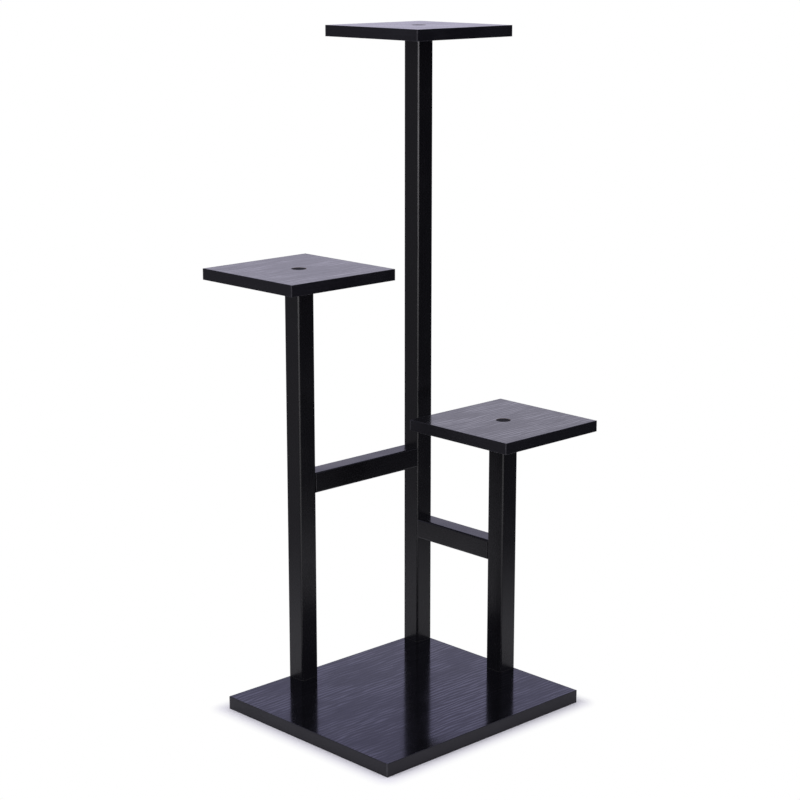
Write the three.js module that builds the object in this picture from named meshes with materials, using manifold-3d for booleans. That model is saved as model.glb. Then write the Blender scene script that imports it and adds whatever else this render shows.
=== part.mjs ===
// Tiered plant stand: a base board, three posts of different heights with a square shelf on
// each, and two braces between the posts.
// Millimetres, +Z up. The origin is the middle of the base's underside. +X runs along the
// base's long side. The posts stand along the base's back (+Y) and right (+X) edges.

import * as THREE from "three";
import { mergeVertices } from "three/addons/utils/BufferGeometryUtils.js";
import Module from "manifold-3d";

const wasm = await Module();
wasm.setup();

// Heights of the decks above the floor.
const tallDeckHeight = 1000;
const middleDeckHeight = 656;
const lowDeckHeight = 418;

// Boards.
const baseLength = 395;
const baseDepth = 345;
const baseThickness = 20;
const shelfSide = 200;
const shelfThickness = 17;

// Edge strips glued round every board.
const bandThickness = 1;
const bandEdgeRadius = 0.6;

// Posts and the braces between them, cut from one square bar.
const barSide = 31.5;
const barEdgeRadius = 2;
const backBraceLength = 213.5;
const sideBraceLength = 153.5;
const backBraceTop = 345;
const sideBraceTop = 228;

// Flat-headed bolt with a hexagon socket, up through the base or down through a shelf.
const boltRadius = 3;
const boltReach = 17;
const boltHeadRadius = 7.5;
const boltHeadThickness = 2.2;
const boltHeadSink = 0.5;
const boltHeadChamfer = 0.5;
const boltTipChamfer = 0.8;
const socketWall = 0.7;
const socketDepth = 1.6;

// Threaded insert in each post end, which the bolt runs into.
const insertWall = 1.7;
const insertLength = 13;
const insertFlangeWidth = 1.5;
const insertFlangeThickness = 1.2;

// Cover cap over each shelf bolt, let into the deck. Its stem presses into the bolt's socket.
const capOverlap = 3.2;
const capThickness = 1;
const capSink = 0.1;
const capEdgeRadius = 0.5;
const capStemReach = 1;

// Cam fitting in each brace end: the bolt screws into the post and the cam grips its head.
const camRadius = 7.5;
const camSetback = 24;
const camSink = 0.5;
const camRise = 4.7;
const camSlotLength = 9;
const camSlotWidth = 2;
const camSlotDepth = 2;
const camBoltThreadRadius = 3;
const camBoltThreadLength = 11;
const camBoltShankRadius = 3.5;
const camBoltNeckRadius = 2;
const camBoltHeadRadius = 3;
const camBoltHeadLength = 3;
const camBoltChamfer = 0.6;

// Wooden dowel above each cam bolt, half in the post and half in the brace.
const dowelRadius = 3;
const dowelReach = 12;
const dowelChamfer = 0.8;
const dowelWall = 1.4;

// Room between pieces: round a piece in its hole, and between faces that touch.
const holeClearance = 0.3;
const faceGap = 0.3;

// How far a cutting tool runs past the face it enters, and how round things are divided.
const overrun = 1;
const roundSides = 20;
const arcSteps = 4;
const hexSides = 6;

const halfTurn = Math.PI;
const quarterTurn = halfTurn / 2;

// Sizes that follow from the ones above.
const boltHoleRadius = boltRadius + holeClearance;
const counterboreRadius = boltHeadRadius + holeClearance;
const counterboreDepth = boltHeadSink + boltHeadThickness + faceGap;
const socketRadius = boltRadius - socketWall;
const insertRadius = boltHoleRadius + insertWall;
const insertFlangeRadius = insertRadius + insertFlangeWidth;
const capRadius = counterboreRadius + capOverlap;
const capRecessRadius = capRadius + holeClearance;
const capRecessFloor = shelfThickness - capSink - capThickness - faceGap;
const capStemRadius = socketRadius * Math.cos(halfTurn / hexSides) - holeClearance;
const capStemLength = faceGap + boltHeadSink + capStemReach;
const camDepth = barSide / 2 - camSink;
const camBoltHoleRadius = camBoltShankRadius + holeClearance;
const camBoltHeadStart = camSetback - camBoltHeadLength / 2;
const camBoltHeadEnd = camSetback + camBoltHeadLength / 2;
const camBoltShankEnd = camSetback - camRadius - holeClearance;
const dowelHoleRadius = dowelRadius + holeClearance;
const dowelRise = camBoltHoleRadius + dowelWall + dowelHoleRadius;

// Where the posts stand: their outer faces are flush with the base's back and right edges.
const postEdgeX = baseLength / 2 - barSide / 2;
const postEdgeY = baseDepth / 2 - barSide / 2;
const middlePostX = postEdgeX - barSide - backBraceLength;
const shortPostY = postEdgeY - barSide - sideBraceLength;

const leftward = new THREE.Vector3(-1, 0, 0);
const rightward = new THREE.Vector3(1, 0, 0);
const frontward = new THREE.Vector3(0, -1, 0);
const backward = new THREE.Vector3(0, 1, 0);
const upward = new THREE.Vector3(0, 0, 1);

// Finishes.
const boardFoil = new THREE.MeshStandardMaterial({ color: 0x2d2b33, roughness: 0.32, metalness: 0 });
const bandPlastic = new THREE.MeshStandardMaterial({ color: 0x1d1c20, roughness: 0.42, metalness: 0 });
const barFoil = new THREE.MeshStandardMaterial({ color: 0x1a191c, roughness: 0.3, metalness: 0 });
const zincSteel = new THREE.MeshStandardMaterial({ color: 0xb4b4b6, roughness: 0.35, metalness: 1 });
const castZinc = new THREE.MeshStandardMaterial({ color: 0x9a9a9c, roughness: 0.5, metalness: 1 });
const capPlastic = new THREE.MeshStandardMaterial({ color: 0x19181c, roughness: 0.6, metalness: 0 });
const beech = new THREE.MeshStandardMaterial({ color: 0xc9a673, roughness: 0.8, metalness: 0 });

// A closed geometry as a solid that can be cut.
function toSolid(geometry) {
  const bare = geometry.clone();
  bare.deleteAttribute("normal");
  bare.deleteAttribute("uv");
  const merged = mergeVertices(bare);
  const vertProperties = new Float32Array(merged.attributes.position.array);
  const triVerts = new Uint32Array(merged.index.array);
  return new wasm.Manifold(new wasm.Mesh({ numProp: 3, vertProperties, triVerts }));
}

// A solid back as a geometry.
function toGeometry(solid) {
  const { vertProperties, triVerts } = solid.getMesh();
  const geometry = new THREE.BufferGeometry();
  geometry.setAttribute("position", new THREE.BufferAttribute(vertProperties, 3));
  geometry.setIndex(new THREE.BufferAttribute(triVerts, 1));
  geometry.computeVertexNormals();
  return geometry;
}

// The geometry with each tool's shape taken out of it.
function cut(geometry, tools) {
  const start = toSolid(geometry);
  return toGeometry(tools.reduce((solid, tool) => solid.subtract(toSolid(tool)), start));
}

// A round bar, or one of `sides` sides, from one point to another.
function rod(radius, from, to, sides = roundSides) {
  const run = new THREE.Vector3().subVectors(to, from);
  const geometry = new THREE.CylinderGeometry(radius, radius, run.length(), sides);
  const turn = new THREE.Quaternion();
  turn.setFromUnitVectors(backward, run.clone().normalize());
  geometry.applyQuaternion(turn);
  geometry.translate(...new THREE.Vector3().addVectors(from, to).multiplyScalar(0.5));
  return geometry;
}

// A rod along Z through a point of the XY plane.
function rodZ(radius, bottom, top, x = 0, y = 0, sides = roundSides) {
  return rod(radius, new THREE.Vector3(x, y, bottom), new THREE.Vector3(x, y, top), sides);
}

// A profile of [radius, height] points turned about Z.
function turned(profile) {
  const points = profile.map(([radius, height]) => new THREE.Vector2(radius, height));
  const geometry = new THREE.LatheGeometry(points, roundSides);
  geometry.rotateX(quarterTurn);
  return geometry;
}

// A rectangle about the origin with its four corners rounded.
function roundedRectangle(width, height, radius) {
  const shape = new THREE.Shape();
  const x = width / 2 - radius;
  const y = height / 2 - radius;
  shape.absarc(x, y, radius, 0, quarterTurn);
  shape.absarc(-x, y, radius, quarterTurn, halfTurn);
  shape.absarc(-x, -y, radius, halfTurn, halfTurn + quarterTurn);
  shape.absarc(x, -y, radius, halfTurn + quarterTurn, 2 * halfTurn);
  return shape;
}

function extruded(shape, length) {
  return new THREE.ExtrudeGeometry(shape, {
    depth: length,
    bevelEnabled: false,
    curveSegments: arcSteps,
  });
}

function addMesh(parent, name, geometry, material) {
  const mesh = new THREE.Mesh(geometry, material);
  mesh.name = name;
  parent.add(mesh);
  return mesh;
}

// One edge strip: inner face on the YZ plane, rounded outer edges, run centred along Y.
function bandGeometry(run, height) {
  const section = new THREE.Shape();
  const arcX = bandThickness - bandEdgeRadius;
  section.moveTo(0, 0);
  section.absarc(arcX, bandEdgeRadius, bandEdgeRadius, -quarterTurn, 0);
  section.absarc(arcX, height - bandEdgeRadius, bandEdgeRadius, 0, quarterTurn);
  section.lineTo(0, height);
  const geometry = extruded(section, run);
  geometry.rotateX(quarterTurn);
  geometry.translate(0, run / 2, 0);
  return geometry;
}

// A board standing on the parent's origin, with its strips. The front and back strips run
// the full length and cover the ends of the side strips.
function addBoard(parent, name, length, depth, thickness, bores) {
  const edge = bandThickness + faceGap;
  const core = new THREE.BoxGeometry(length - 2 * edge, depth - 2 * edge, thickness);
  core.translate(0, 0, thickness / 2);
  addMesh(parent, `${name}_board`, cut(core, bores), boardFoil);
  const strips = [
    { side: "right", reach: length / 2, run: depth - 2 * edge },
    { side: "back", reach: depth / 2, run: length },
    { side: "left", reach: length / 2, run: depth - 2 * edge },
    { side: "front", reach: depth / 2, run: length },
  ];
  strips.forEach(({ side, reach, run }, i) => {
    const strip = addMesh(parent, `${name}_band_${side}`, bandGeometry(run, thickness), bandPlastic);
    strip.position.set(reach - bandThickness, 0, 0).applyAxisAngle(upward, i * quarterTurn);
    strip.rotation.z = i * quarterTurn;
  });
}

// A bolt's hole through a board, with the counterbore for its head starting at `mouth`.
// `into` is 1 where the bolt points up and -1 where it points down.
function boardBores(thickness, mouth, into, x = 0, y = 0) {
  const start = mouth - into * overrun;
  return [
    rodZ(boltHoleRadius, start, mouth + into * (thickness + overrun), x, y),
    rodZ(counterboreRadius, start, mouth + into * counterboreDepth, x, y),
  ];
}

// The stepped hole in a post's end for its insert and the bolt's tip.
function endBores(end, into) {
  const start = end - into * overrun;
  const hole = (radius, depth) => {
    return rodZ(radius + holeClearance, start, end + into * (depth + holeClearance));
  };
  return [
    hole(insertFlangeRadius, insertFlangeThickness),
    hole(insertRadius, insertLength),
    hole(boltRadius, boltReach),
  ];
}

// The holes in a post's side for a cam bolt and its dowel, on a brace's axis.
function sideBores(towards, axisHeight) {
  const hole = (radius, depth, height) => {
    const from = towards.clone().multiplyScalar(barSide / 2 + overrun).setZ(height);
    const to = towards.clone().multiplyScalar(barSide / 2 - depth - holeClearance).setZ(height);
    return rod(radius, from, to);
  };
  return [
    hole(camBoltThreadRadius + holeClearance, camBoltThreadLength, axisHeight),
    hole(dowelHoleRadius, dowelReach, axisHeight + dowelRise),
  ];
}

// A bolt with its head's bearing face on the XY plane and its shank pointing up.
function boltGeometry(length) {
  const geometry = turned([
    [0, -boltHeadThickness],
    [boltHeadRadius - boltHeadChamfer, -boltHeadThickness],
    [boltHeadRadius, boltHeadChamfer - boltHeadThickness],
    [boltHeadRadius, 0],
    [boltRadius, 0],
    [boltRadius, length - boltTipChamfer],
    [boltRadius - boltTipChamfer, length],
    [0, length],
  ]);
  const socketStart = -boltHeadThickness - overrun;
  const socketEnd = socketDepth - boltHeadThickness;
  return cut(geometry, [rodZ(socketRadius, socketStart, socketEnd, 0, 0, hexSides)]);
}

// An insert with its flange's face on the XY plane and its body pointing up.
function insertGeometry() {
  return turned([
    [boltHoleRadius, 0],
    [insertFlangeRadius, 0],
    [insertFlangeRadius, insertFlangeThickness],
    [insertRadius, insertFlangeThickness],
    [insertRadius, insertLength],
    [boltHoleRadius, insertLength],
    [boltHoleRadius, 0],
  ]);
}

// A cover cap with its disc's underside on the XY plane and its stem pointing down.
function capGeometry() {
  const rim = [];
  for (let i = 0; i <= arcSteps; i += 1) {
    const angle = (quarterTurn * i) / arcSteps;
    rim.push([
      capRadius - capEdgeRadius * (1 - Math.cos(angle)),
      capThickness - capEdgeRadius * (1 - Math.sin(angle)),
    ]);
  }
  return turned([
    [0, -capStemLength],
    [capStemRadius, -capStemLength],
    [capStemRadius, 0],
    [capRadius, 0],
    ...rim,
    [0, capThickness],
  ]);
}

// A post with what fastens it to the base and the shelf to it. The parent's origin is the
// base's top face on the post's axis.
function addPost(parent, { post, shelf, deckHeight, braces }) {
  const topFace = deckHeight - baseThickness - shelfThickness - faceGap;
  const bar = extruded(roundedRectangle(barSide, barSide, barEdgeRadius), topFace - faceGap);
  bar.translate(0, 0, faceGap);
  const bores = [...endBores(faceGap, 1), ...endBores(topFace, -1)];
  braces.forEach(({ towards, top }) => {
    bores.push(...sideBores(towards, top - barSide / 2 - baseThickness));
  });
  addMesh(parent, post, cut(bar, bores), barFoil);

  addMesh(parent, `${post}_foot_insert`, insertGeometry(), zincSteel).position.z = faceGap;
  const topInsert = addMesh(parent, `${post}_top_insert`, insertGeometry(), zincSteel);
  topInsert.position.z = topFace;
  topInsert.rotation.x = halfTurn;

  const bolt = (thickness) => boltGeometry(thickness - counterboreDepth + 2 * faceGap + boltReach);
  const footBolt = addMesh(parent, `${post}_foot_bolt`, bolt(baseThickness), zincSteel);
  footBolt.position.z = counterboreDepth - faceGap - baseThickness;

  const board = new THREE.Group();
  board.position.z = topFace + faceGap;
  parent.add(board);
  const recess = rodZ(capRecessRadius, capRecessFloor, shelfThickness + overrun);
  const boardTools = [recess, ...boardBores(shelfThickness, capRecessFloor, -1)];
  addBoard(board, shelf, shelfSide, shelfSide, shelfThickness, boardTools);
  const shelfBolt = addMesh(board, `${shelf}_bolt`, bolt(capRecessFloor), zincSteel);
  shelfBolt.position.z = capRecessFloor - counterboreDepth + faceGap;
  shelfBolt.rotation.x = halfTurn;
  addMesh(board, `${shelf}_cap`, capGeometry(), capPlastic).position.z = capRecessFloor + faceGap;
}

// A cam bolt along +X, its thread behind the YZ plane and its head in the cam.
function camBoltGeometry() {
  const geometry = turned([
    [0, -camBoltThreadLength],
    [camBoltThreadRadius - camBoltChamfer, -camBoltThreadLength],
    [camBoltThreadRadius, camBoltChamfer - camBoltThreadLength],
    [camBoltThreadRadius, faceGap],
    [camBoltShankRadius, faceGap],
    [camBoltShankRadius, camBoltShankEnd],
    [camBoltNeckRadius, camBoltShankEnd],
    [camBoltNeckRadius, camBoltHeadStart],
    [camBoltHeadRadius, camBoltHeadStart + camBoltChamfer],
    [camBoltHeadRadius, camBoltHeadEnd - camBoltChamfer],
    [camBoltHeadRadius - camBoltChamfer, camBoltHeadEnd],
    [0, camBoltHeadEnd],
  ]);
  geometry.rotateY(quarterTurn);
  return geometry;
}

// A cam about Z with the bolt's axis on X: a channel lets the bolt's head in from the post's
// side, and a cross slot in its lower face takes the screwdriver.
function camGeometry() {
  const channelStart = leftward.clone().multiplyScalar(camRadius + overrun);
  const channelEnd = rightward.clone().multiplyScalar(camBoltHeadLength / 2 + holeClearance);
  const slots = [0, quarterTurn].map((angle) => {
    const slot = new THREE.BoxGeometry(camSlotLength, camSlotWidth, 2 * camSlotDepth);
    slot.rotateZ(angle);
    slot.translate(0, 0, -camDepth);
    return slot;
  });
  const channel = rod(camBoltHeadRadius + holeClearance, channelStart, channelEnd);
  return cut(rodZ(camRadius, -camDepth, camRise), [channel, ...slots]);
}

// A dowel along X, centred on the origin, with chamfered ends.
function dowelGeometry() {
  const geometry = turned([
    [0, -dowelReach],
    [dowelRadius - dowelChamfer, -dowelReach],
    [dowelRadius, dowelChamfer - dowelReach],
    [dowelRadius, dowelReach - dowelChamfer],
    [dowelRadius - dowelChamfer, dowelReach],
    [0, dowelReach],
  ]);
  geometry.rotateY(quarterTurn);
  return geometry;
}

// The holes in one end of a brace, with the post's face on the YZ plane.
function braceBores() {
  const along = (x, z) => new THREE.Vector3(x, 0, z);
  return [
    rod(camBoltHoleRadius, along(-overrun, 0), along(camSetback, 0)),
    rod(dowelHoleRadius, along(-overrun, dowelRise), along(dowelReach + holeClearance, dowelRise)),
    rodZ(camRadius + holeClearance, -barSide / 2 - overrun, camRise + holeClearance, camSetback),
  ];
}

// A brace and its fittings. The parent's origin is where the brace's axis meets the first
// post's face, and +X runs to the second post.
function addBrace(parent, { name, span, ends }) {
  const bar = extruded(roundedRectangle(barSide, barSide, barEdgeRadius), span - 2 * faceGap);
  bar.rotateY(quarterTurn);
  bar.translate(faceGap, 0, 0);
  const farBores = braceBores().map((bore) => bore.rotateZ(halfTurn).translate(span, 0, 0));
  addMesh(parent, name, cut(bar, [...braceBores(), ...farBores]), barFoil);

  ends.forEach((end, i) => {
    const joint = new THREE.Group();
    joint.position.x = i * span;
    joint.rotation.z = i * halfTurn;
    parent.add(joint);
    addMesh(joint, `${name}_${end}_cam_bolt`, camBoltGeometry(), zincSteel);
    addMesh(joint, `${name}_${end}_cam`, camGeometry(), castZinc).position.x = camSetback;
    addMesh(joint, `${name}_${end}_dowel`, dowelGeometry(), beech).position.z = dowelRise;
  });
}

const backBrace = { name: "back_brace", span: backBraceLength, ends: ["left", "right"] };
const sideBrace = { name: "side_brace", span: sideBraceLength, ends: ["front", "back"] };

const tiers = [
  {
    post: "tall_post",
    shelf: "top_shelf",
    deckHeight: tallDeckHeight,
    x: postEdgeX,
    y: postEdgeY,
    braces: [
      { towards: leftward, top: backBraceTop },
      { towards: frontward, top: sideBraceTop },
    ],
  },
  {
    post: "middle_post",
    shelf: "middle_shelf",
    deckHeight: middleDeckHeight,
    x: middlePostX,
    y: postEdgeY,
    braces: [{ towards: rightward, top: backBraceTop }],
  },
  {
    post: "short_post",
    shelf: "low_shelf",
    deckHeight: lowDeckHeight,
    x: postEdgeX,
    y: shortPostY,
    braces: [{ towards: backward, top: sideBraceTop }],
  },
];

const stand = new THREE.Group();

const footBores = tiers.flatMap(({ x, y }) => boardBores(baseThickness, 0, 1, x, y));
addBoard(stand, "base", baseLength, baseDepth, baseThickness, footBores);

tiers.forEach((tier) => {
  const column = new THREE.Group();
  column.position.set(tier.x, tier.y, baseThickness);
  stand.add(column);
  addPost(column, tier);
});

const backRail = new THREE.Group();
backRail.position.set(middlePostX + barSide / 2, postEdgeY, backBraceTop - barSide / 2);
stand.add(backRail);
addBrace(backRail, backBrace);

const sideRail = new THREE.Group();
sideRail.position.set(postEdgeX, shortPostY + barSide / 2, sideBraceTop - barSide / 2);
sideRail.rotation.z = quarterTurn;
stand.add(sideRail);
addBrace(sideRail, sideBrace);

export default stand;
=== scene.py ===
import math

import bpy
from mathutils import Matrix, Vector


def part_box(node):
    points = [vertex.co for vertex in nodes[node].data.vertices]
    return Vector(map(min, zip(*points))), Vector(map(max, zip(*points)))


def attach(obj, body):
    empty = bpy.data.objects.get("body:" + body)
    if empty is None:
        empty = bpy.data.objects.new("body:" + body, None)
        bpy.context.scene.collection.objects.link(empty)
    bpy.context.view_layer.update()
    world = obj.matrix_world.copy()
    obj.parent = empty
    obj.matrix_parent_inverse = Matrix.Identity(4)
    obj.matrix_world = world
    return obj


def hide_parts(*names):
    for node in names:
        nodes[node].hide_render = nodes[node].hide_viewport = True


# Tiered plant stand: a base board, three posts with square shelves and two braces.
# Metres, +Z up, base on the floor. Every piece is placed by the box of the CAD node it stands for.
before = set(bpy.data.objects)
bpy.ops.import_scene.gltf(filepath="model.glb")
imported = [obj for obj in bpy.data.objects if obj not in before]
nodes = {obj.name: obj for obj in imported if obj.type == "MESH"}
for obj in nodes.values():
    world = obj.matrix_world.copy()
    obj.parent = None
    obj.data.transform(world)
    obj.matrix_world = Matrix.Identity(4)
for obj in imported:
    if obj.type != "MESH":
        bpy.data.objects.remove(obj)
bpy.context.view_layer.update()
mm = 0.001
touching = 0.01 * mm  # nearer than this counts as being in one plane
past = mm             # how far a drill runs on into the air
boreSides = 40
print("frame loaded with", len(nodes), "nodes")


# Shaping pieces.

def takeUp(piece):
    bpy.ops.object.select_all(action="DESELECT")
    piece.select_set(True)
    bpy.context.view_layer.objects.active = piece


def settle(piece, name):  # its place goes into its mesh, so the object sits at the origin
    takeUp(piece)
    piece.name = name
    piece.data.name = name
    bpy.ops.object.transform_apply(location=True, rotation=True, scale=True)
    return piece


def runsAlong(direction, axis):  # more nearly than not
    return abs(direction[axis]) > 0.5


def easeEdges(piece, width, steps, test):  # only the edges that pass the test
    takeUp(piece)
    mesh = piece.data
    bpy.context.tool_settings.mesh_select_mode = (False, True, False)
    for part in (mesh.vertices, mesh.edges, mesh.polygons):
        part.foreach_set("select", [False] * len(part))
    for edge in mesh.edges:
        a, b = (mesh.vertices[i].co for i in edge.vertices)
        edge.select = test((a + b) / 2, (b - a).normalized())
    bpy.ops.object.mode_set(mode="EDIT")
    bpy.ops.mesh.bevel(offset=width, segments=steps, affect="EDGES")
    bpy.ops.object.mode_set(mode="OBJECT")


def addBlock(name, low, high):
    bpy.ops.object.select_all(action="DESELECT")
    bpy.ops.mesh.primitive_cube_add(size=1, location=(low + high) / 2, scale=high - low)
    return settle(bpy.context.active_object, name)


def addTurned(name, centre, rings, sides):  # rings of (radius, height), from one flat end to the other
    radius, height = rings[0]
    bpy.ops.object.select_all(action="DESELECT")
    bpy.ops.mesh.primitive_circle_add(
        vertices=sides, radius=radius, fill_type="NGON", location=(0, 0, height)
    )
    piece = settle(bpy.context.active_object, name)
    bpy.context.tool_settings.mesh_select_mode = (False, False, True)
    bpy.ops.object.mode_set(mode="EDIT")
    bpy.ops.mesh.select_all(action="SELECT")
    for nextRadius, nextHeight in rings[1:]:
        bpy.ops.mesh.extrude_region_move(
            TRANSFORM_OT_translate={"value": (0, 0, nextHeight - height)}
        )
        shrink = nextRadius / radius
        bpy.ops.transform.resize(
            value=(shrink, shrink, 1), center_override=(0, 0, nextHeight)
        )
        radius, height = nextRadius, nextHeight
    bpy.ops.mesh.select_all(action="SELECT")
    bpy.ops.mesh.normals_make_consistent(inside=False)
    bpy.ops.object.mode_set(mode="OBJECT")
    piece.location = (centre.x, centre.y, 0)
    return settle(piece, name)


def subtract(piece, tool):
    takeUp(piece)
    cut = piece.modifiers.new("cut", "BOOLEAN")
    cut.object = tool
    cut.operation = "DIFFERENCE"
    cut.solver = "EXACT"
    cut.material_mode = "TRANSFER"
    bpy.ops.object.modifier_apply(modifier=cut.name)
    bpy.data.objects.remove(tool)


def drill(piece, radius, start, end, lining, sides=boreSides):
    run = end - start
    bpy.ops.object.select_all(action="DESELECT")
    bpy.ops.mesh.primitive_cylinder_add(
        vertices=sides,
        radius=radius,
        depth=run.length,
        location=(start + end) / 2,
        rotation=run.to_track_quat("Z", "Y").to_euler(),
    )
    tool = bpy.context.active_object
    tool.data.materials.append(lining)
    subtract(piece, tool)


def drillDown(piece, radius, centre, bottom, top, lining, sides=boreSides):  # a bore along Z
    start = Vector((centre.x, centre.y, bottom))
    end = Vector((centre.x, centre.y, top))
    drill(piece, radius, start, end, lining, sides)


def drillFor(piece, node, axis, room, lining):  # a bore round a whole fitting
    low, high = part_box(node)
    centre = (low + high) / 2
    across = (axis + 1) % 3
    start, end = centre.copy(), centre.copy()
    start[axis] = low[axis] - room
    end[axis] = high[axis] + room
    drill(piece, (high[across] - low[across]) / 2 + room, start, end, lining)


def finishPiece(piece, stoodFor, smoothAngle=50):
    takeUp(piece)
    bpy.ops.object.shade_smooth_by_angle(angle=math.radians(smoothAngle))
    evened = piece.modifiers.new("evened", "WEIGHTED_NORMAL")  # keeps flat faces flat beside rounds
    evened.keep_sharp = True
    evened.weight = 100
    bpy.ops.object.modifier_apply(modifier=evened.name)
    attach(piece, "root")
    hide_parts(*stoodFor)


# Building materials.

def addNode(tree, kind, inputs=None, **settings):
    made = tree.nodes.new(kind)
    for name, value in settings.items():
        setattr(made, name, value)
    for name, value in (inputs or {}).items():
        if isinstance(value, bpy.types.NodeSocket):
            tree.links.new(value, made.inputs[name])
        else:
            made.inputs[name].default_value = value
    return made


def calc(tree, operation, a, b=0.0, c=0.0, clamp=False):
    return addNode(
        tree, "ShaderNodeMath", {0: a, 1: b, 2: c}, operation=operation, use_clamp=clamp
    ).outputs[0]


def noise(tree, vector, scale, detail=2.0, roughness=0.5):
    return addNode(
        tree,
        "ShaderNodeTexNoise",
        {"Vector": vector, "Scale": scale, "Detail": detail, "Roughness": roughness},
    ).outputs["Fac"]


def ramp(tree, value, low, high, toLow=0.0, toHigh=1.0):
    return addNode(
        tree,
        "ShaderNodeMapRange",
        {"Value": value, "From Min": low, "From Max": high, "To Min": toLow, "To Max": toHigh},
        interpolation_type="SMOOTHSTEP",
    ).outputs["Result"]


def vectorCalc(tree, operation, a, b=(0, 0, 0)):
    made = addNode(tree, "ShaderNodeVectorMath", {0: a, 1: b}, operation=operation)
    return made.outputs["Value" if operation in ("DOT_PRODUCT", "LENGTH") else "Vector"]


def split(tree, vector):
    return addNode(tree, "ShaderNodeSeparateXYZ", {0: vector}).outputs


def bumped(tree, height, distance):
    return addNode(
        tree, "ShaderNodeBump", {"Height": height, "Distance": distance, "Strength": 1.0}
    ).outputs[0]


def blendColour(tree, factor, a, b):
    made = addNode(tree, "ShaderNodeMix", data_type="RGBA")
    for name, value in (("Factor_Float", factor), ("A_Color", a), ("B_Color", b)):
        socket = next(s for s in made.inputs if s.identifier == name)
        if isinstance(value, bpy.types.NodeSocket):
            tree.links.new(value, socket)
        else:
            socket.default_value = value
    return next(s for s in made.outputs if s.identifier == "Result_Color")


def newGroup(name, inputs, outputs):
    group = bpy.data.node_groups.new(name, "ShaderNodeTree")
    for label, kind, value in inputs:
        socket = group.interface.new_socket(label, in_out="INPUT", socket_type=kind)
        socket.default_value = value
    for label in outputs:
        group.interface.new_socket(label, in_out="OUTPUT", socket_type="NodeSocketFloat")
    start = addNode(group, "NodeGroupInput").outputs
    end = addNode(group, "NodeGroupOutput").inputs
    return group, start, end


def useGroup(tree, group, inputs):
    return addNode(tree, "ShaderNodeGroup", inputs, node_tree=group).outputs


middling = (0.3, 0.7)  # the range in which most of a noise's values lie

# Grain runs along X of the vector: evenly spaced lines that bend and break, finer streaks
# between them, open pores, and slow bands where the figure is stronger.
grainShape = {
    "wanderScale": 9.0,
    "wander": 0.002,              # metres to the side
    "streaks": (1.0, 1.0),        # lengths and widths, as shares of the grain's own
    "fineStreaks": (0.6, 0.32),
    "figure": (3.0, 9.0),
    "pores": (0.22, 0.16),
    "bends": (1.6, 3.5),
    "bend": 9.0,                  # radians of a line's phase
    "across": (0, 1, 0.7),        # tilted, so that lines show on all the long faces
    "lineEdges": (-0.8, 0.8),
    "broken": (0.35, 0.6, 0.35, 1.0),
    "figured": (0.35, 0.65, 0.3, 1.0),
    "porous": (0.6, 0.68),
    "fineDepth": 0.45,
    "poreDepth": 0.5,
}
woodGrain, grainIn, grainOut = newGroup(
    "woodGrain",
    [
        ("Vector", "NodeSocketVector", (0, 0, 0)),
        ("Length", "NodeSocketFloat", 0.05),
        ("Width", "NodeSocketFloat", 0.003),
    ],
    ["Height", "Tone", "Pores"],
)


def grainNoise(name, detail=1.0, roughness=0.5):
    length, width = grainShape[name]
    scale = addNode(
        woodGrain,
        "ShaderNodeCombineXYZ",
        {
            "X": calc(woodGrain, "DIVIDE", 1 / length, grainIn["Length"]),
            "Y": calc(woodGrain, "DIVIDE", 1 / width, grainIn["Width"]),
            "Z": calc(woodGrain, "DIVIDE", 1 / width, grainIn["Width"]),
        },
    ).outputs[0]
    return noise(woodGrain, vectorCalc(woodGrain, "MULTIPLY", wandering, scale), 1.0, detail, roughness)


wander = noise(woodGrain, grainIn["Vector"], grainShape["wanderScale"], 1.0)
sideways = calc(woodGrain, "MULTIPLY", wander, grainShape["wander"])
wanderShift = addNode(woodGrain, "ShaderNodeCombineXYZ", {"Y": sideways, "Z": sideways}).outputs[0]
wandering = vectorCalc(woodGrain, "ADD", grainIn["Vector"], wanderShift)
streaks = grainNoise("streaks", roughness=0.4)
fineStreaks = grainNoise("fineStreaks", 2.0, 0.6)
figure = grainNoise("figure")
pores = ramp(woodGrain, grainNoise("pores"), *grainShape["porous"])
strength = ramp(woodGrain, figure, *grainShape["figured"])
bends = calc(woodGrain, "MULTIPLY", grainNoise("bends"), grainShape["bend"])
offset = vectorCalc(woodGrain, "DOT_PRODUCT", wandering, grainShape["across"])
across = calc(woodGrain, "DIVIDE", offset, grainIn["Width"])
phase = calc(woodGrain, "ADD", calc(woodGrain, "MULTIPLY", across, math.pi), bends)
comb = ramp(woodGrain, calc(woodGrain, "SINE", phase), *grainShape["lineEdges"])
broken = calc(woodGrain, "MULTIPLY", comb, ramp(woodGrain, streaks, *grainShape["broken"]))
lines = calc(woodGrain, "MULTIPLY", broken, strength)
fineLines = calc(woodGrain, "MULTIPLY", fineStreaks, grainShape["fineDepth"])
raised = calc(woodGrain, "ADD", lines, fineLines)
sunk = calc(woodGrain, "MULTIPLY", pores, grainShape["poreDepth"])
woodGrain.links.new(calc(woodGrain, "SUBTRACT", raised, sunk), grainOut["Height"])
woodGrain.links.new(calc(woodGrain, "MULTIPLY", lines, figure), grainOut["Tone"])
woodGrain.links.new(pores, grainOut["Pores"])

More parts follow.
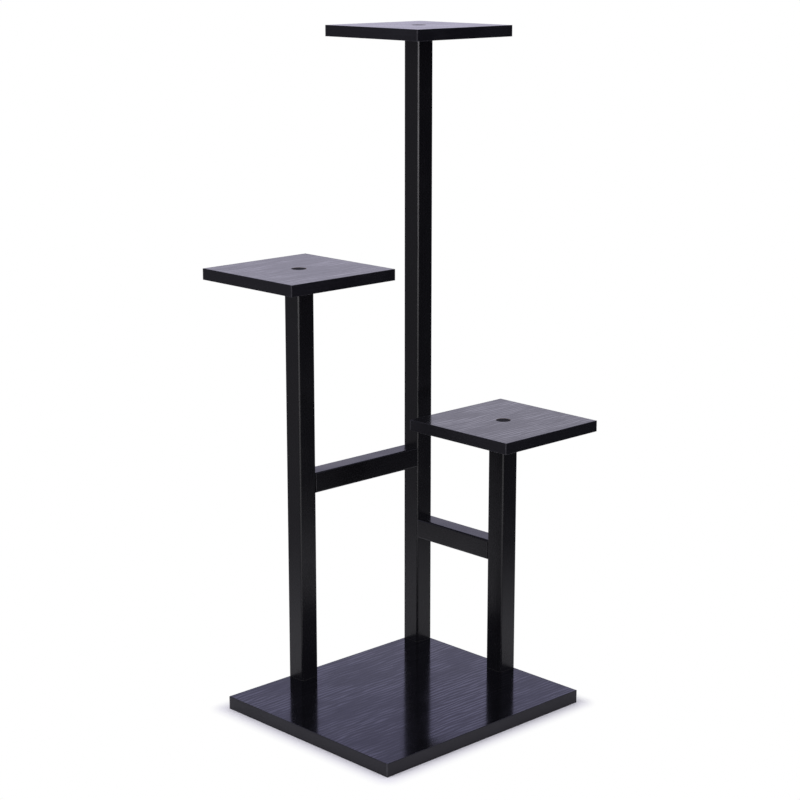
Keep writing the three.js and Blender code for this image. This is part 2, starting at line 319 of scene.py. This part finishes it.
# How near a point is to an edge of its box-shaped piece, broken up a little. Shares gives
# how much shows on the edges that run along each axis.
# The foils lighten their edges by this mask: partly real wear, partly a painted highlight where the edges
# catch light.
edgeMaskShape = {"breakUpScale": 260.0, "breakUp": (0.35, 1.3)}
edgeWearAndHighlight, edgeMaskIn, edgeMaskOut = newGroup(
    "edgeWearAndHighlight",
    [
        ("Vector", "NodeSocketVector", (0, 0, 0)),
        ("Centre", "NodeSocketVector", (0, 0, 0)),
        ("Half Size", "NodeSocketVector", (1, 1, 1)),
        ("Reach", "NodeSocketFloat", 0.001),
        ("Shares", "NodeSocketVector", (1, 1, 1)),
    ],
    ["Mask"],
)
fromCentre = vectorCalc(edgeWearAndHighlight, "SUBTRACT", edgeMaskIn["Vector"], edgeMaskIn["Centre"])
apart = vectorCalc(edgeWearAndHighlight, "ABSOLUTE", fromCentre)
toX, toY, toZ = split(edgeWearAndHighlight, vectorCalc(edgeWearAndHighlight, "SUBTRACT", edgeMaskIn["Half Size"], apart))
shareX, shareY, shareZ = split(edgeWearAndHighlight, edgeMaskIn["Shares"])
edgeMaskNoise = noise(edgeWearAndHighlight, edgeMaskIn["Vector"], edgeMaskShape["breakUpScale"], 3.0, 0.6)
breakUp = ramp(edgeWearAndHighlight, edgeMaskNoise, *middling, *edgeMaskShape["breakUp"])
edgeMaskReach = calc(edgeWearAndHighlight, "MULTIPLY", edgeMaskIn["Reach"], breakUp)
edgeMaskMost = 0.0
for share, side, otherSide in ((shareX, toY, toZ), (shareY, toX, toZ), (shareZ, toX, toY)):
    toEdge = calc(edgeWearAndHighlight, "DIVIDE", calc(edgeWearAndHighlight, "MAXIMUM", side, otherSide), edgeMaskReach)
    edgeMaskHere = calc(edgeWearAndHighlight, "MULTIPLY", ramp(edgeWearAndHighlight, toEdge, 0.0, 1.0, 1.0, 0.0), share)
    edgeMaskMost = calc(edgeWearAndHighlight, "MAXIMUM", edgeMaskHere, edgeMaskMost)
edgeWearAndHighlight.links.new(edgeMaskMost, edgeMaskOut["Mask"])

# Handling: cloudy smears all over, and fine dust on what faces up.
handlingShape = {
    "smearScale": 14.0,
    "speckScale": 900.0,
    "specks": (0.56, 0.72),
    "patchScale": 5.0,
    "patches": (0.35, 0.75, 0.25, 1.0),
}
handling, handIn, handOut = newGroup(
    "handling", [("Vector", "NodeSocketVector", (0, 0, 0))], ["Smears", "Dust"]
)
clouds = noise(handling, handIn["Vector"], handlingShape["smearScale"], 4.0, 0.55)
handling.links.new(ramp(handling, clouds, *middling), handOut["Smears"])
facingUp = split(handling, addNode(handling, "ShaderNodeNewGeometry").outputs["Normal"])["Z"]
speckNoise = noise(handling, handIn["Vector"], handlingShape["speckScale"], 2.0)
specks = ramp(handling, speckNoise, *handlingShape["specks"])
patchNoise = noise(handling, handIn["Vector"], handlingShape["patchScale"], 3.0)
patches = ramp(handling, patchNoise, *handlingShape["patches"])
dusty = calc(handling, "MULTIPLY", calc(handling, "MAXIMUM", facingUp, 0.0), patches)
handling.links.new(calc(handling, "MULTIPLY", specks, dusty), handOut["Dust"])

grainTurns = {"x": (0, 0, 0), "y": (0, 0, -math.pi / 2), "z": (0, math.pi / 2, 0)}


def newMaterial(name, shaderValues):
    made = bpy.data.materials.new(name)
    made.use_nodes = True
    tree = made.node_tree
    tree.nodes.clear()
    shader = addNode(tree, "ShaderNodeBsdfPrincipled", shaderValues)
    addNode(tree, "ShaderNodeOutputMaterial", {"Surface": shader.outputs[0]})
    coords = addNode(tree, "ShaderNodeTexCoord").outputs["Object"]
    return made, tree, shader, coords


def plug(tree, shader, **sockets):
    for name, value in sockets.items():
        tree.links.new(value, shader.inputs[name.replace("_", " ")])


def foilMaterial(name, look, node, along):  # printed and embossed foil on one box-shaped piece
    made, tree, shader, coords = newMaterial(name, look["shader"])
    low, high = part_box(node)
    turned = addNode(
        tree, "ShaderNodeMapping", {"Vector": coords, "Rotation": grainTurns[along]}
    ).outputs[0]
    grain = useGroup(
        tree,
        woodGrain,
        {"Vector": turned, "Length": look["grainLength"], "Width": look["grainWidth"]},
    )
    shares = [look["endWearAndHighlight"]] * 3
    shares["xyz".index(along)] = look["longWearAndHighlight"]
    wearAndHighlight = useGroup(
        tree,
        edgeWearAndHighlight,
        {
            "Vector": coords,
            "Centre": (low + high) / 2,
            "Half Size": (high - low) / 2,
            "Reach": look["wearAndHighlightReach"],
            "Shares": shares,
        },
    )["Mask"]
    hands = useGroup(tree, handling, {"Vector": coords})
    printed = blendColour(tree, grain["Tone"], look["dark"], look["light"])
    # Lighter along the edges: partly real wear, partly a painted highlight where the edges catch light.
    wearAndHighlightTone = calc(tree, "MULTIPLY", wearAndHighlight, look["wearAndHighlightShows"])
    eased = blendColour(tree, wearAndHighlightTone, printed, look["wearAndHighlightColour"])
    dustTone = calc(tree, "MULTIPLY", hands["Dust"], dustLook["shows"])
    dusted = blendColour(tree, dustTone, eased, dustLook["colour"])
    smeared = ramp(tree, hands["Smears"], 0.0, 1.0, *look["roughness"])
    poreRough = calc(tree, "MULTIPLY", grain["Pores"], look["poreRough"])
    dustRough = calc(tree, "MULTIPLY", dustTone, dustLook["rough"])
    rough = calc(tree, "ADD", smeared, calc(tree, "ADD", poreRough, dustRough))
    bump = bumped(tree, grain["Height"], look["emboss"])
    plug(tree, shader, Base_Color=dusted, Roughness=rough, Normal=bump)
    if "lacquer" in look:  # thinner in the grain's hollows
        coat = ramp(tree, grain["Height"], 0.0, look["lacquerFull"], *look["lacquer"])
        plug(tree, shader, Coat_Weight=coat)
    return made


def cloudedMaterial(name, look):  # one plain material, a little uneven
    made, tree, shader, coords = newMaterial(name, look["shader"])
    cloud = noise(tree, coords, look["cloudScale"], 3.0)
    fine = noise(tree, coords, look["fineScale"], 2.0)
    plug(
        tree,
        shader,
        Base_Color=blendColour(tree, cloud, look["dark"], look["light"]),
        Roughness=ramp(tree, cloud, *middling, *look["roughness"]),
        Normal=bumped(tree, fine, look["pits"]),
    )
    return made


dustLook = {"shows": 0.008, "rough": 0.6, "colour": (0.35, 0.34, 0.37, 1)}
# In each foil look the edge colour lightens the edges: partly real wear, partly a painted highlight where
# they catch light.
boardLook = {
    "shader": {"Specular IOR Level": 0.05, "Coat Roughness": 0.1},
    "lacquer": (0.42, 1.0),
    "lacquerFull": 1.1,   # the grain height over which it is whole
    "dark": (0.0012, 0.0012, 0.0018, 1),
    "light": (0.0024, 0.0023, 0.0034, 1),
    "grainLength": 0.035,
    "grainWidth": 0.0036,
    "emboss": 0.00002,
    "roughness": (0.1, 0.16),
    "poreRough": 0.04,
    "wearAndHighlightReach": 0.0012,
    "wearAndHighlightShows": 0.35,
    "longWearAndHighlight": 0.5,      # on the edges along the grain
    "endWearAndHighlight": 0.5,       # and on the others
    "wearAndHighlightColour": (0.02, 0.019, 0.022, 1),
}
bandLook = {
    "shader": {"Specular IOR Level": 0.31, "Specular Tint": (0.93, 0.90, 1.0, 1)},
    "dark": (0.0028, 0.0028, 0.0040, 1),
    "light": (0.0054, 0.0054, 0.0074, 1),
    "grainLength": 0.05,
    "grainWidth": 0.0016,
    "emboss": 0.000012,
    "roughness": (0.28, 0.4),
    "poreRough": 0.08,
    "wearAndHighlightReach": 0.0013,
    "wearAndHighlightShows": 0.5,
    "longWearAndHighlight": 0.1,
    "endWearAndHighlight": 1.0,
    "wearAndHighlightColour": (0.06, 0.058, 0.066, 1),
}
barLook = {
    "shader": {"Specular IOR Level": 0.3},
    "dark": (0.0025, 0.0024, 0.0031, 1),
    "light": (0.0042, 0.0040, 0.0050, 1),
    "grainLength": 0.09,
    "grainWidth": 0.002,
    "emboss": 0.000012,
    "roughness": (0.2, 0.28),
    "poreRough": 0.06,
    "wearAndHighlightReach": 0.0012,
    "wearAndHighlightShows": 0.5,
    "longWearAndHighlight": 0.15,
    "endWearAndHighlight": 1.0,
    "wearAndHighlightColour": (0.05, 0.048, 0.054, 1),
}
zincLook = {
    "shader": {"Metallic": 1.0},
    "dark": (0.42, 0.42, 0.43, 1),
    "light": (0.66, 0.66, 0.67, 1),
    "cloudScale": 400.0,
    "fineScale": 3000.0,
    "pits": 0.000008,
    "roughness": (0.22, 0.38),
}
castLook = {
    "shader": {"Metallic": 1.0},
    "dark": (0.32, 0.32, 0.33, 1),
    "light": (0.5, 0.5, 0.51, 1),
    "cloudScale": 500.0,
    "fineScale": 2200.0,
    "pits": 0.00003,
    "roughness": (0.42, 0.6),
}
capLook = {
    "shader": {"Specular IOR Level": 0.12},
    "dark": (0.007, 0.007, 0.0085, 1),
    "light": (0.013, 0.0125, 0.015, 1),
    "cloudScale": 300.0,
    "fineScale": 2600.0,
    "pits": 0.000015,
    "roughness": (0.7, 0.82),
}
zincSteel = cloudedMaterial("zincSteel", zincLook)
castZinc = cloudedMaterial("castZinc", castLook)
capPlastic = cloudedMaterial("capPlastic", capLook)

rawLook = {
    "dark": (0.16, 0.10, 0.055, 1),
    "light": (0.42, 0.29, 0.17, 1),
    "chipScale": 900.0,
    "fibreScale": 1400.0,
    "crumbs": 0.0003,
    "roughness": (0.8, 0.95),
}
rawBoard, rawTree, rawShader, rawCoords = newMaterial("rawBoard", {})
rawChips = addNode(
    rawTree,
    "ShaderNodeTexVoronoi",
    {"Vector": rawCoords, "Scale": rawLook["chipScale"], "Randomness": 1.0},
).outputs["Distance"]
rawFibres = noise(rawTree, rawCoords, rawLook["fibreScale"], 4.0, 0.65)
plug(
    rawTree,
    rawShader,
    Base_Color=blendColour(rawTree, rawFibres, rawLook["dark"], rawLook["light"]),
    Roughness=ramp(rawTree, rawFibres, *middling, *rawLook["roughness"]),
    Normal=bumped(rawTree, rawChips, rawLook["crumbs"]),
)

beechLook = {
    "dark": (0.36, 0.21, 0.09, 1),
    "light": (0.62, 0.43, 0.22, 1),
    "grainLength": 0.02,
    "grainWidth": 0.0008,
    "emboss": 0.00003,
    "roughness": (0.6, 0.85),
}
beech, beechTree, beechShader, beechCoords = newMaterial("beech", {})
beechGrain = useGroup(
    beechTree,
    woodGrain,
    {
        "Vector": beechCoords,
        "Length": beechLook["grainLength"],
        "Width": beechLook["grainWidth"],
    },
)
plug(
    beechTree,
    beechShader,
    Base_Color=blendColour(beechTree, beechGrain["Tone"], beechLook["dark"], beechLook["light"]),
    Roughness=ramp(beechTree, beechGrain["Pores"], 0.0, 1.0, *beechLook["roughness"]),
    Normal=bumped(beechTree, beechGrain["Height"], beechLook["emboss"]),
)
print("finishes made")

# Boards: a foiled core, and edge strips with their outer edges rounded.
board = {
    "glue": 0.02 * mm,        # what is left between the core and its strips
    "coreEase": 0.12 * mm,
    "coreSteps": 2,
    "stripEase": 0.6 * mm,
    "stripSteps": 4,
    "cornerEase": 0.7 * mm,
    "cornerSteps": 3,
    "boltRoom": 0.3 * mm,
    "boltHead": 2.2 * mm,
    "boltRadius": 3 * mm,
    "recessDepth": 1.4 * mm,  # for the cap, below the deck
    "recessSides": 64,
}
boardLabels = {
    "base": "base",
    "top_shelf": "topShelf",
    "middle_shelf": "middleShelf",
    "low_shelf": "lowShelf",
}
postsOf = {"top_shelf": "tall_post", "middle_shelf": "middle_post", "low_shelf": "short_post"}


def addCore(name, label, strips):  # the core fills the room between its strips
    low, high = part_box(f"{name}_board")
    low = Vector((strips["left"][1].x + board["glue"], strips["front"][1].y + board["glue"], low.z))
    high = Vector((strips["right"][0].x - board["glue"], strips["back"][0].y - board["glue"], high.z))
    core = addBlock(label, low, high)
    easeEdges(core, board["coreEase"], board["coreSteps"], lambda place, along: not runsAlong(along, 2))
    return core


def addStrip(label, side, strips):
    low, high = (corner.copy() for corner in strips[side])
    if side in ("left", "right"):  # these run up to the front and back strips
        low.y = strips["front"][1].y + board["glue"]
        high.y = strips["back"][0].y - board["glue"]
    strip = addBlock(label, low, high)
    across = 0 if side in ("left", "right") else 1
    outer = low[across] if side in ("left", "front") else high[across]

    def isOuter(place, along):
        return abs(place[across] - outer) < touching and not runsAlong(along, 2)

    def isCorner(place, along):
        return abs(place[across] - outer) < touching and runsAlong(along, 2)

    easeEdges(strip, board["stripEase"], board["stripSteps"], isOuter)
    if across == 1:
        easeEdges(strip, board["cornerEase"], board["cornerSteps"], isCorner)
    return strip


for name, label in boardLabels.items():
    strips = {side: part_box(f"{name}_band_{side}") for side in ("front", "back", "left", "right")}
    core = addCore(name, f"{label}Core", strips)
    core.data.materials.append(foilMaterial(f"{label}Foil", boardLook, f"{name}_board", "x"))
    low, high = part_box(f"{name}_board")
    room = board["boltRoom"]
    under, over = low.z - past, high.z + past
    if name == "base":
        for post in postsOf.values():
            boltLow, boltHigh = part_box(f"{post}_foot_bolt")
            centre = (boltLow + boltHigh) / 2
            headTop = boltLow.z + board["boltHead"] + room
            drillDown(core, (boltHigh.x - boltLow.x) / 2 + room, centre, under, headTop, rawBoard)
            drillDown(core, board["boltRadius"] + room, centre, under, over, rawBoard)
    else:
        boltLow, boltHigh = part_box(f"{name}_bolt")
        capLow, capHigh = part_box(f"{name}_cap")
        centre = (boltLow + boltHigh) / 2
        for radius, bottom in (
            ((capHigh.x - capLow.x) / 2 + room, high.z - board["recessDepth"]),
            ((boltHigh.x - boltLow.x) / 2 + room, boltHigh.z - board["boltHead"] - room),
            (board["boltRadius"] + room, under),
        ):
            drillDown(core, radius, centre, bottom, over, rawBoard, board["recessSides"])
    finishPiece(core, [f"{name}_board"])
    for side in strips:
        stripLabel = f"{label}Strip{side.capitalize()}"
        strip = addStrip(stripLabel, side, strips)
        along = "y" if side in ("left", "right") else "x"
        strip.data.materials.append(foilMaterial(stripLabel, bandLook, f"{name}_band_{side}", along))
        finishPiece(strip, [f"{name}_band_{side}"])
print("boards made:", len(boardLabels))

# Posts and braces, one square bar each with its long edges rounded.
bar = {
    "edgeRadius": 3 * mm,
    "edgeSteps": 6,
    "endEase": 0.25 * mm,
    "endSteps": 2,
    "room": 0.3 * mm,
    "closeUp": 0.28 * mm,     # each end runs this much nearer to what it meets
}
bars = {
    "tall_post": ("tallPost", 2),
    "middle_post": ("middlePost", 2),
    "short_post": ("shortPost", 2),
    "back_brace": ("backBrace", 0),
    "side_brace": ("sideBrace", 1),
}
braceEnds = {
    "back_brace": {"left": "middle_post", "right": "tall_post"},
    "side_brace": {"front": "short_post", "back": "tall_post"},
}
for name, (label, axis) in bars.items():
    low, high = (corner.copy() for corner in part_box(name))
    low[axis] -= bar["closeUp"]
    high[axis] += bar["closeUp"]

    def isAtEnd(place, along):
        fromEnd = min(abs(place[axis] - low[axis]), abs(place[axis] - high[axis]))
        return fromEnd < touching and not runsAlong(along, axis)

    piece = addBlock(label, low, high)
    easeEdges(piece, bar["edgeRadius"], bar["edgeSteps"], lambda place, along: runsAlong(along, axis))
    easeEdges(piece, bar["endEase"], bar["endSteps"], isAtEnd)
    piece.data.materials.append(foilMaterial(f"{label}Foil", barLook, name, "xyz"[axis]))
    if axis == 2:
        shelf = next(shelf for shelf, post in postsOf.items() if post == name)
        for insert, boltNode in (("foot", f"{name}_foot_bolt"), ("top", f"{shelf}_bolt")):
            drillFor(piece, f"{name}_{insert}_insert", 2, bar["room"], rawBoard)
            boltLow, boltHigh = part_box(boltNode)
            drillDown(piece, board["boltRadius"] + bar["room"], (boltLow + boltHigh) / 2,
                      boltLow.z - bar["room"], boltHigh.z + bar["room"], rawBoard)
    for brace, ends in braceEnds.items():
        for end, post in ends.items():
            if name in (brace, post):
                braceAxis = bars[brace][1]
                drillFor(piece, f"{brace}_{end}_dowel", braceAxis, bar["room"], rawBoard)
                drillFor(piece, f"{brace}_{end}_cam_bolt", braceAxis, bar["room"], rawBoard)
            if name == brace:
                camLow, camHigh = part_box(f"{brace}_{end}_cam")
                drillDown(piece, (camHigh.x - camLow.x) / 2 + bar["room"], (camLow + camHigh) / 2,
                          low.z - past, camHigh.z + bar["room"], rawBoard)
    finishPiece(piece, [name])
print("posts and braces made:", len(bars))

# Cover caps, let into the decks.
cap = {
    "thick": 1 * mm,
    "rim": 0.45 * mm,
    "rimSteps": 4,
    "dishEdge": 2.2 * mm,     # in from the cap's edge
    "dishFlat": 2.6 * mm,
    "dish": 0.06 * mm,
    "stemRadius": 1.6 * mm,
    "sides": 64,
}
for shelf in postsOf:
    low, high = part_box(f"{shelf}_cap")
    radius = (high.x - low.x) / 2
    underside = high.z - cap["thick"]
    rings = [(cap["stemRadius"], low.z), (cap["stemRadius"], underside), (radius, underside)]
    for step in range(cap["rimSteps"] + 1):
        angle = math.pi / 2 * step / cap["rimSteps"]
        rings.append((
            radius - cap["rim"] * (1 - math.cos(angle)),
            high.z - cap["rim"] * (1 - math.sin(angle)),
        ))
    rings.append((radius - cap["dishEdge"], high.z))
    rings.append((radius - cap["dishFlat"], high.z - cap["dish"]))
    piece = addTurned(f"{boardLabels[shelf]}Cap", (low + high) / 2, rings, cap["sides"])
    piece.data.materials.append(capPlastic)
    finishPiece(piece, [f"{shelf}_cap"])

# Bolts: a flat head with a six-sided socket.
bolt = {
    "headRadius": 7.5 * mm,
    "headThick": 2.2 * mm,
    "headEase": 0.6 * mm,
    "headAngles": (30, 60, 90),
    "radius": 3 * mm,
    "tipEase": 0.8 * mm,
    "socketAcross": 2.3 * mm,
    "socketDepth": 1.6 * mm,
    "socketSides": 6,
    "sides": 48,
    "smoothAngle": 30,
}


def addBolt(name, node, headDown):
    low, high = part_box(node)
    centre = (low + high) / 2
    length = high.z - low.z
    rings = [(bolt["headRadius"] - bolt["headEase"], 0)]
    for angle in bolt["headAngles"]:
        turn = math.radians(angle)
        rings.append((
            bolt["headRadius"] - bolt["headEase"] * (1 - math.sin(turn)),
            bolt["headEase"] * (1 - math.cos(turn)),
        ))
    rings += [
        (bolt["headRadius"], bolt["headThick"]),
        (bolt["radius"], bolt["headThick"]),
        (bolt["radius"], length - bolt["tipEase"]),
        (bolt["radius"] - bolt["tipEase"], length),
    ]
    if not headDown:
        rings = [(radius, length - height) for radius, height in reversed(rings)]
    rings = [(radius, height + low.z) for radius, height in rings]
    piece = addTurned(name, centre, rings, bolt["sides"])
    piece.data.materials.append(zincSteel)
    head, inward = (low.z, 1) if headDown else (high.z, -1)
    drillDown(piece, bolt["socketAcross"], centre, head - inward * past,
              head + inward * bolt["socketDepth"], zincSteel, bolt["socketSides"])
    finishPiece(piece, [node], bolt["smoothAngle"])


for shelf, post in postsOf.items():
    postLabel = bars[post][0]
    addBolt(f"{postLabel}FootBolt", f"{post}_foot_bolt", True)
    addBolt(f"{boardLabels[shelf]}Bolt", f"{shelf}_bolt", False)

# Cams under the brace ends, with a cross slot and the channel for the bolt's head.
cam = {
    "ease": 0.4 * mm,
    "slotLength": 9 * mm,
    "slotWidth": 2 * mm,
    "slotDepth": 2 * mm,
    "channel": 3.3 * mm,
    "headHalf": 1.8 * mm,
    "sides": 48,
    "smoothAngle": 30,
}
for brace, ends in braceEnds.items():
    axis = bars[brace][1]
    for end in ends:
        node = f"{brace}_{end}_cam"
        low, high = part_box(node)
        centre = (low + high) / 2
        radius = (high.x - low.x) / 2
        rings = [
            (radius - cam["ease"], low.z),
            (radius, low.z + cam["ease"]),
            (radius, high.z - cam["ease"]),
            (radius - cam["ease"], high.z),
        ]
        piece = addTurned(f"{bars[brace][0]}Cam{end.capitalize()}", centre, rings, cam["sides"])
        piece.data.materials.append(castZinc)
        middle = Vector((centre.x, centre.y, low.z))
        for long, short in ((cam["slotLength"], cam["slotWidth"]), (cam["slotWidth"], cam["slotLength"])):
            reach = Vector((long / 2, short / 2, cam["slotDepth"]))
            subtract(piece, addBlock("slotTool", middle - reach, middle + reach))
        boltLow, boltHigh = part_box(f"{brace}_{end}_cam_bolt")
        boltCentre = (boltLow + boltHigh) / 2
        towardsPost = -1 if boltCentre[axis] < centre[axis] else 1
        start, stop = boltCentre.copy(), boltCentre.copy()
        start[axis] = centre[axis] + towardsPost * (radius + past)
        stop[axis] = centre[axis] - towardsPost * cam["headHalf"]
        drill(piece, cam["channel"], start, stop, castZinc)
        finishPiece(piece, [node], cam["smoothAngle"])
print("caps, bolts and cams made")

# Fittings that stay inside keep their CAD shape.
for name, node in nodes.items():
    if node.hide_render:
        continue
    finish = beech if name.endswith("_dowel") else zincSteel
    if not node.material_slots:
        node.data.materials.append(finish)
    for held in node.material_slots:
        held.material = finish
print("inner fittings finished")

# Studio: a pale floor, soft lamps that stay out of the gloss, and the room that the gloss shows.
studio = {
    "cameraPlace": (-1.93655, -2.01012, 1.13952),
    "cameraTurn": (1.336861, 0, -0.76474),
    "lens": 88.754,
    "sensorWidth": 36,
    "ambient": 0.62,
    "floorColour": (0.90, 0.885, 0.975, 1),
    "floorSize": 60,
    "shadowReach": (0.003, 0.032),  # this far from the base the floor fades to plain white,
    "roomReach": (0.05, 0.75),      # and in the gloss to the tone of the room
}
room = {
    "back": (0.69, 0.72, 0),        # away from the photograph's camera
    "left": (-0.72, 0.69, 0),
    "turnOver": (-0.5, 0.5),        # cosines over which front turns to back and right to left
    "asideFrom": (0.45, 0.85),      # and over which the ends give way to the sides
    "backTone": (0.545, 0.52, 0.665, 1),
    "aheadTone": (0.5, 0.48, 0.62, 1),          # in front, above the floor's glow
    # frontTone, glowTone and rightFloorTone also paint the floor, which glows with them in the gloss only
    # though it is no lamp: painted reflections that give the round edges their highlights and darken what
    # faces right.
    "frontTone": (1.5, 1.47, 1.52, 1),
    "glowTone": (8.2, 8.0, 8.4, 1),             # the far floor in front, which the round edges show
    "glowReach": (1.0, 11.0),
    "glowHeight": 0.06,
    "leftTone": (0.31, 0.30, 0.34, 1),
    "rightTone": (0.045, 0.042, 0.06, 1),
    "rightFloorTone": (0.10, 0.097, 0.125, 1),  # nearer, on the floor
    "rightFloorReach": (1.5, 4.5),
    "paleTone": (0.775, 0.75, 0.92, 1),
    "paleFrom": (0.1, 0.25),        # sines of the height angles over which each tone begins
    "wallTone": (0.545, 0.53, 0.85, 1),
    "wallFrom": (0.28, 0.38),
    "ceilingTone": (0.26, 0.25, 0.32, 1),
    "ceilingFrom": (0.45, 0.65),
}
lamps = {
    "keyLight": {"place": (-2.4, 0.6, 1.9), "aim": (0.04, 0.04, 0.45), "size": (1.6, 1.6), "power": 22},
    "fillLight": {"place": (0.9, -2.6, 1.7), "aim": (0.04, 0.04, 0.45), "size": (1.6, 1.6), "power": 10},
    "topLight": {"place": (0.2, 0.2, 3.2), "aim": (0.04, 0.04, 0.0), "size": (2.2, 2.2), "power": 24},
}


def seenInGloss(tree):  # 1 for glossy and transmission rays
    path = addNode(tree, "ShaderNodeLightPath").outputs
    return calc(tree, "ADD", path["Is Glossy Ray"], path["Is Transmission Ray"], clamp=True)


def seenDirectly(tree):  # 1 for camera rays too
    path = addNode(tree, "ShaderNodeLightPath").outputs
    return calc(tree, "ADD", path["Is Camera Ray"], seenInGloss(tree), clamp=True)


def roomTone(tree, vector, front, right):  # four tones, blended all round
    ahead = vectorCalc(tree, "NORMALIZE", vectorCalc(tree, "MULTIPLY", vector, (1, 1, 0)))
    toBack = vectorCalc(tree, "DOT_PRODUCT", ahead, room["back"])
    toLeft = vectorCalc(tree, "DOT_PRODUCT", ahead, room["left"])
    ends = blendColour(tree, ramp(tree, toBack, *room["turnOver"]), front, room["backTone"])
    sides = blendColour(tree, ramp(tree, toLeft, *room["turnOver"]), right, room["leftTone"])
    aside = ramp(tree, calc(tree, "ABSOLUTE", toLeft), *room["asideFrom"])
    return blendColour(tree, aside, ends, sides)


white = (1, 1, 1, 1)
scene = bpy.context.scene
world = bpy.data.worlds.new("studio")
scene.world = world
world.use_nodes = True
worldTree = world.node_tree
worldTree.nodes.clear()
worldView = addNode(worldTree, "ShaderNodeTexCoord").outputs["Generated"]
upwards = split(worldTree, worldView)["Z"]
glowAbove = ramp(worldTree, upwards, 0.0, room["glowHeight"], 1.0, 0.0)
worldFront = blendColour(worldTree, glowAbove, room["aheadTone"], room["glowTone"])
walls = roomTone(worldTree, worldView, worldFront, room["rightTone"])
for tone in ("pale", "wall", "ceiling"):
    begins = ramp(worldTree, upwards, *room[f"{tone}From"])
    walls = blendColour(worldTree, begins, walls, room[f"{tone}Tone"])
worldColour = blendColour(worldTree, seenInGloss(worldTree), white, walls)
worldLevel = addNode(
    worldTree,
    "ShaderNodeMapRange",
    {"Value": seenDirectly(worldTree), "To Min": studio["ambient"], "To Max": 1.0},
).outputs["Result"]
worldLight = addNode(worldTree, "ShaderNodeBackground", {"Color": worldColour, "Strength": worldLevel})
addNode(worldTree, "ShaderNodeOutputWorld", {"Surface": worldLight.outputs[0]})

bpy.ops.object.select_all(action="DESELECT")
bpy.ops.mesh.primitive_plane_add(size=studio["floorSize"], location=(0, 0, 0))
floor = settle(bpy.context.active_object, "floor")
floorPaint = bpy.data.materials.new("floorPaint")
floorPaint.use_nodes = True
floorTree = floorPaint.node_tree
floorTree.nodes.clear()
floorCoords = addNode(floorTree, "ShaderNodeTexCoord").outputs["Object"]
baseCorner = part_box("base_band_back")[1]
pastBase = vectorCalc(
    floorTree,
    "SUBTRACT",
    vectorCalc(floorTree, "ABSOLUTE", floorCoords),
    (baseCorner.x, baseCorner.y, 0),
)
fromBase = vectorCalc(floorTree, "LENGTH", vectorCalc(floorTree, "MAXIMUM", pastBase))
floorGloss = seenInGloss(floorTree)
toWhite = ramp(floorTree, fromBase, *studio["shadowReach"])
toRoom = ramp(floorTree, fromBase, *studio["roomReach"])
floorFade = addNode(
    floorTree, "ShaderNodeMix", {"Factor": floorGloss, "A": toWhite, "B": toRoom}
).outputs["Result"]
# Far from the base the floor glows in the gloss only, though it is no lamp. This is a painted reflection,
# far brighter than white ahead, where the round edges show it as highlights, and dark to the right, which
# darkens what faces right.
floorGlow = ramp(floorTree, fromBase, *room["glowReach"])
farFront = blendColour(floorTree, floorGlow, room["frontTone"], room["glowTone"])
farAside = ramp(floorTree, fromBase, *room["rightFloorReach"])
farRight = blendColour(floorTree, farAside, room["rightFloorTone"], room["rightTone"])
paintedFarReflection = roomTone(floorTree, floorCoords, farFront, farRight)
farColour = blendColour(floorTree, floorGloss, white, paintedFarReflection)
floorDiffuse = addNode(floorTree, "ShaderNodeBsdfDiffuse", {"Color": studio["floorColour"]})
floorFar = addNode(floorTree, "ShaderNodeEmission", {"Color": farColour, "Strength": 1.0})
floorMix = addNode(
    floorTree,
    "ShaderNodeMixShader",
    {
        0: calc(floorTree, "MULTIPLY", floorFade, seenDirectly(floorTree)),
        1: floorDiffuse.outputs[0],
        2: floorFar.outputs[0],
    },
)
addNode(floorTree, "ShaderNodeOutputMaterial", {"Surface": floorMix.outputs[0]})
floor.data.materials.append(floorPaint)

for name, lamp in lamps.items():
    light = bpy.data.lights.new(name, "AREA")
    light.shape = "RECTANGLE"
    light.size, light.size_y = lamp["size"]
    light.energy = lamp["power"]
    holder = bpy.data.objects.new(name, light)
    holder.location = lamp["place"]
    aim = Vector(lamp["aim"]) - Vector(lamp["place"])
    holder.rotation_euler = aim.to_track_quat("-Z", "Y").to_euler()
    holder.visible_camera = False
    holder.visible_glossy = False
    scene.collection.objects.link(holder)

cameraData = bpy.data.cameras.new("camera")
cameraData.lens = studio["lens"]
cameraData.sensor_width = studio["sensorWidth"]
camera = bpy.data.objects.new("camera", cameraData)
camera.location = studio["cameraPlace"]
camera.rotation_euler = studio["cameraTurn"]
scene.collection.objects.link(camera)
scene.camera = camera
scene.view_settings.view_transform = "Standard"
print("studio lit")
